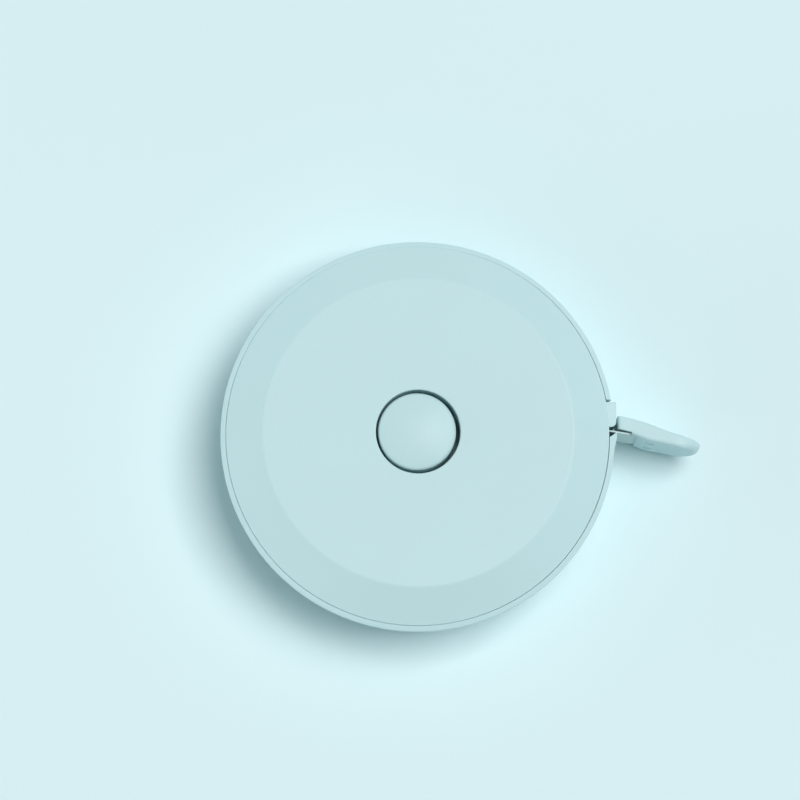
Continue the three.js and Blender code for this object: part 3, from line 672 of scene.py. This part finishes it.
def tab_rings():
    """Rings of points (along the tab, from the tape's line, height) from the middle of the back round the
    edge to the middle of the belly, closer together where the edges are rounded."""
    insets = [0, 0.012, 0.04, 0.085, 0.15, 0.23, 0.33, 0.46, 0.65, 0.9, 1.2, 1.55, 1.95, 2.4, 2.9, 3.4, 3.8,
              (TAB_HIGH - TAB_LOW) / 2]

    def ring(inset, side):
        return [(u, tab_surface(u, inset, side), z) for u, z in inset_outline(inset)]

    back = [ring(inset, 1) for inset in reversed(insets)]
    belly = [ring(inset, -1) for inset in insets]
    steps = 6
    edge = []
    for step in range(1, steps):
        edge.append([(u, v + (w - v) * step / steps, z) for (u, v, z), (_, w, _) in zip(back[-1], belly[0])])
    return back + edge + belly


def pull_tab():
    heel_shift, heel_lean, heel_ends = 0.405, 0.1584, 3
    rings = tab_rings()
    points = []
    for ring in rings:
        for u, v, z in ring:
            slant = (heel_shift - heel_lean * v) * max(0.0, 1 - u / heel_ends)
            x, y = by_tape(u + slant, v)
            points.append((x, y, z))
    count = len(rings[0])
    faces = []
    for k in range(len(rings) - 1):
        for j in range(count):
            n = (j + 1) % count
            faces.append((k * count + j, k * count + n, (k + 1) * count + n, (k + 1) * count + j))
    tab = piece("pull_tab_moulding", points, faces, case_plastic, sharp=50)

    def cutter(name, outline, low, high):
        return upright(name, [tuple(by_tape(u, v)) for u, v in outline], low, high, case_plastic)

    shelf = [(-2, -3), (JAW_START, -3), (JAW_START, 0.22), (0, 0.4), (-2, 0.4)]
    carved(tab, cutter("shelf", shelf, 0, 12))
    beside, above = 0.23, 0.25
    pocket = oblong(JAW_START - PAST, POCKET_END + 0.2, -beside, beside)
    carved(tab, cutter("pocket", pocket, TAPE_LOW - above, TAPE_HIGH + above))
    for side in (1, -1):
        carved(tab, peg("hole", side, PEG_ROOM))
    fitted(tab, "pull_tab", "tab")


def peg(name, side, room=0):
    """A round-ended peg across the tab, from the outside of the jaw into the heel, or the hole for it if
    room is given."""
    radius, length = PEG_R + room, PEG_LENGTH + 2 * room
    profile = softened([(0, 0), (radius, 0, 0.12), (radius, length, 0.12), (0, length)])
    made = turned(name, profile, case_plastic, 48)
    along, across = Vector((*ALONG, 0)), Vector((*ACROSS, 0))
    foot = by_tape(PEG_AT, PEG_FOOT - room)
    place = Matrix((Vector((0, 0, 1)), along, across)).transposed().to_4x4()
    place.translation = Vector((*foot, TAPE_MIDDLE + side * PEG_SPREAD / 2)) * MM
    made.data.transform(place)
    return made


# Tape

def tape_coil():
    """The tail that is held in the hub's slot, and then the turns."""
    room, begins, points_per_turn = 0.2, 0.0012, 90
    path = [(*polar(r, COIL_START), TAPE_MIDDLE) for r in np.linspace(SEAT_R + room, FIRST_TURN_R - room, 4)]
    for k in np.linspace(begins, 1, round(TURNS * points_per_turn)):
        radius = FIRST_TURN_R + (LAST_TURN_R - FIRST_TURN_R) * k
        path.append((*polar(radius, COIL_START + (COIL_END - COIL_START) * k), TAPE_MIDDLE))
    coil = swept("tape_coil_cloth", STRIP, path, cloth, TAPE_THICK, TAPE_WIDTH)
    fitted(coil, "tape_coil", "reel")


def tape_run():
    way = [RUN_START + (BEND_START - RUN_START) * k for k in np.linspace(0, 1, 8)[:-1]]
    way += arc(NOSE, BEND_R, BEND_FROM, BEND_TO, 14)
    way.append(by_tape(RUN_END, 0))
    path = [(*p, TAPE_MIDDLE) for p in way]
    run = swept("tape_run_cloth", STRIP, path, marked_cloth, LOOSE_THICK, TAPE_WIDTH)
    fitted(run, "tape_run", "case")


def stretch(name, start, end, steps):
    """A straight strip of loose tape between two places along the tape."""
    path = [(*by_tape(u, 0), TAPE_MIDDLE) for u in np.linspace(start, end, steps)]
    return swept(name, STRIP, path, marked_cloth, LOOSE_THICK, TAPE_WIDTH)


def at(u):
    """A place along the tape, in metres."""
    return Vector((*by_tape(u, 0), TAPE_MIDDLE)) * MM


def tape_exit():
    """The strip in the mouth, between the case and the tab."""
    out = stretch("tape_out_cloth", RUN_END, OUT_END, 60)
    at(RUN_END + 0.05)
    at(OUT_END - 0.1)
    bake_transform(out)
    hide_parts("tape_exit")


def tape_end():
    """The strip held in the tab, with holes for the tab's pegs."""
    held = stretch("tape_end_cloth", OUT_END, POCKET_END, 46)
    for side in (1, -1):
        carved(held, peg("hole", side, PEG_ROOM))
    split_wide_faces(held)
    at(OUT_END + 0.02)
    at(2 * FLEX_AT - OUT_END - 0.02)
    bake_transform(held)
    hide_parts("tape_end")


def tab_pegs():
    for side, node in ((1, "tab_peg_upper"), (-1, "tab_peg_lower")):
        fitted(peg(node + "_pin", side), node, "tab")


# Reel and springs

def reel_drum():
    start_r, reel_in, hub_top = 10, BOSS_R + 0.3, LID_UNDER - 0.2
    corners = [
        (start_r, REEL_BASE), (FLANGE_R, REEL_BASE, 0.15), (FLANGE_R, REEL_FLOOR, 0.15),
        (HUB_R, REEL_FLOOR), (HUB_R, hub_top, 0.1), (SEAT_R, hub_top, 0.1), (SEAT_R, PLATE_SEAT),
        (CHAMBER_R, PLATE_SEAT, 0.08), (CHAMBER_R, REEL_FLOOR), (reel_in, REEL_FLOOR, 0.1),
        (reel_in, REEL_BASE, 0.1),
    ]
    drum = turned("reel_drum_moulding", softened_ring(corners), reel_plastic, 200)

    def slot(inside, high, angle):
        c, s = math.cos(angle), math.sin(angle)
        ends = oblong(inside - PAST, HUB_R + PAST, -SLOT_HALF, SLOT_HALF)
        outline = [(x * c - y * s, x * s + y * c) for x, y in ends]
        return upright("slot", outline, REEL_FLOOR, high, reel_plastic)

    carved(drum, slot(SEAT_R, hub_top + PAST, COIL_START))
    carved(drum, slot(CHAMBER_R, PLATE_SEAT, 0))
    fitted(drum, "reel_drum", "reel")


def reel_lid():
    start_r, spigot_out, spigot_foot = 10, SEAT_R - 0.2, LID_UNDER - 1
    spigot_in = spigot_out - 0.9
    corners = [
        (start_r, LID_UNDER), (spigot_in, LID_UNDER), (spigot_in, spigot_foot, 0.1),
        (spigot_out, spigot_foot, 0.1), (spigot_out, LID_UNDER), (FLANGE_R, LID_UNDER, 0.15),
        (FLANGE_R, LID_OVER, 0.15), (LID_HOLE_R, LID_OVER, 0.1), (LID_HOLE_R, LID_UNDER, 0.1),
    ]
    lid = turned("reel_lid_moulding", softened_ring(corners), reel_plastic, 200)
    fitted(lid, "reel_lid", "reel")


def spring_plate():
    start_r, plate_in, plate_out, foot, edge = 8, POST_R + 0.3, SEAT_R - 0.2, SPRING_LID - 0.3, 0.05
    corners = [
        (start_r, foot), (plate_out, foot, edge), (plate_out, SPRING_LID, edge),
        (plate_in, SPRING_LID, edge), (plate_in, foot, edge),
    ]
    plate = turned("spring_plate_disc", softened_ring(corners), steel, 200)
    fitted(plate, "spring_plate", "reel")


def power_spring():
    """A flat spiral, hooked to the post at one end and to the hub at the other."""
    first, last, turns, thick = POST_R + 0.4, CHAMBER_R - 0.4, 12, 0.2
    low, high = REEL_FLOOR + 0.25, PLATE_SEAT - 0.25
    middle = (low + high) / 2
    path = [(*polar(r, 0.0), middle) for r in np.linspace(BORE_R + 0.2, first - 0.15, 4)]
    for k in np.linspace(0.001, 0.9992, turns * 80):
        eased = 0.45 * k + 0.55 * (1 - (1 - k) ** 2)
        path.append((*polar(first + (last - first) * eased, -turns * 2 * math.pi * k), middle))
    path += [(*polar(r, 0.0), middle) for r in np.linspace(last + 0.15, (CHAMBER_R + HUB_R) / 2, 4)]
    strip = swept("power_spring_strip", STRIP, path, steel, thick, high - low)
    fitted(strip, "power_spring", "case")


def button_spring():
    wire, low, high, turns = 0.36, CASE_FLOOR + 0.38, STEM_FOOT - 0.38, 4.5
    path = [(*polar(STEM_R - wire / 2, 2 * math.pi * turns * k), low + (high - low) * k)
            for k in np.linspace(0, 1, 216)]
    coil = swept("button_spring_wire", WIRE, path, steel, wire)
    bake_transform(coil)
    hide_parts("button_spring")


lower_shell()
upper_shell()
push_button()
brake_ring()
pull_tab()
tape_coil()
tape_run()
tape_exit()
tape_end()
tab_pegs()
reel_drum()
reel_lid()
spring_plate()
power_spring()
button_spring()


# Floor, light and camera

FLOOR_REACH = 10000
FLOOR_LEVEL = -0.05
LAMPS_AWAY = 12


def floor():
    made, shader, place = new_material("pale_floor")
    tone = place.noise(6, 2.0)
    feed(shader, "Base Color", tone.mixed(srgb(219, 242, 245), srgb(223, 244, 247)))
    shader.inputs["Roughness"].default_value = 0.85
    shader.inputs["Specular IOR Level"].default_value = 0.2
    corners = oblong(-FLOOR_REACH, FLOOR_REACH, -FLOOR_REACH, FLOOR_REACH)
    points = [(x, y, FLOOR_LEVEL) for x, y in corners]
    piece("floor", points, [(0, 1, 2, 3)], made)


def softbox(name, from_overhead, azimuth, size, radiance):
    """A rectangular lamp turned to the object, placed by its angle from straight overhead and its angle
    round the object. Its size is the one that it seems to have from 1 m away, and it stands so far off that
    the drawn-out tape is lit evenly. Its face has the given brightness, where 1 is a white wall in full
    light."""
    lamp = bpy.data.lights.new(name, "AREA")
    lamp.shape, lamp.size, lamp.size_y = "RECTANGLE", size[0] * LAMPS_AWAY, size[1] * LAMPS_AWAY
    lamp.energy = radiance * math.pi * lamp.size * lamp.size_y
    made = bpy.data.objects.new(name, lamp)
    SCENE.collection.objects.link(made)
    made.visible_camera = False
    down, turn = math.radians(from_overhead), math.radians(azimuth)
    place = Vector((math.sin(down) * math.cos(turn), math.sin(down) * math.sin(turn), math.cos(down)))
    made.location = place * LAMPS_AWAY
    made.rotation_euler = (-place).to_track_quat("-Z", "Y").to_euler()


def lights():
    world = bpy.data.worlds.new("studio")
    SCENE.world = world
    world.use_nodes = True
    tree = world.node_tree
    sky = tree.nodes["Background"]
    sky.inputs["Color"].default_value = srgb(226, 240, 244)
    rays = tree.nodes.new("ShaderNodeLightPath")
    seen = Link(tree, rays.outputs["Is Camera Ray"])
    for kind in ("Is Glossy Ray", "Is Transmission Ray"):
        seen = seen.math("MAXIMUM", Link(tree, rays.outputs[kind]))
    unseen_strength = 0.16
    feed(sky, "Strength", seen.math("MAXIMUM", unseen_strength))
    softbox("key_softbox", 21, 17, (0.58, 0.58), 8.1)
    softbox("fill_card", 60, 225, (0.6, 0.5), 0.8)
    softbox("back_card", 85, 90, (0.8, 0.16), 3.3)
    softbox("left_card", 85, 185, (0.8, 0.16), 9.0)
    softbox("front_card", 85, 290, (0.8, 0.16), 2.0)


def camera():
    """Looks down at the photo's tilt, from 550 mm away."""
    lens = bpy.data.cameras.new("view")
    lens.sensor_width, lens.lens, lens.clip_start = 36, 194.7, 0.01
    made = bpy.data.objects.new("view", lens)
    SCENE.collection.objects.link(made)
    aim, distance = Vector((-2.22, 4.67, 10.0)) * MM, 550 * MM
    lean, tilt = math.radians(0.8), math.radians(9.4)
    away = Vector((-math.sin(lean), -math.sin(tilt), math.cos(tilt))).normalized()
    made.location = aim + away * distance
    side = Vector((1, 0, 0)) - away * away.x
    side.normalize()
    made.rotation_euler = Matrix((side, away.cross(side), away)).transposed().to_euler()
    SCENE.camera = made


floor()
lights()
camera()
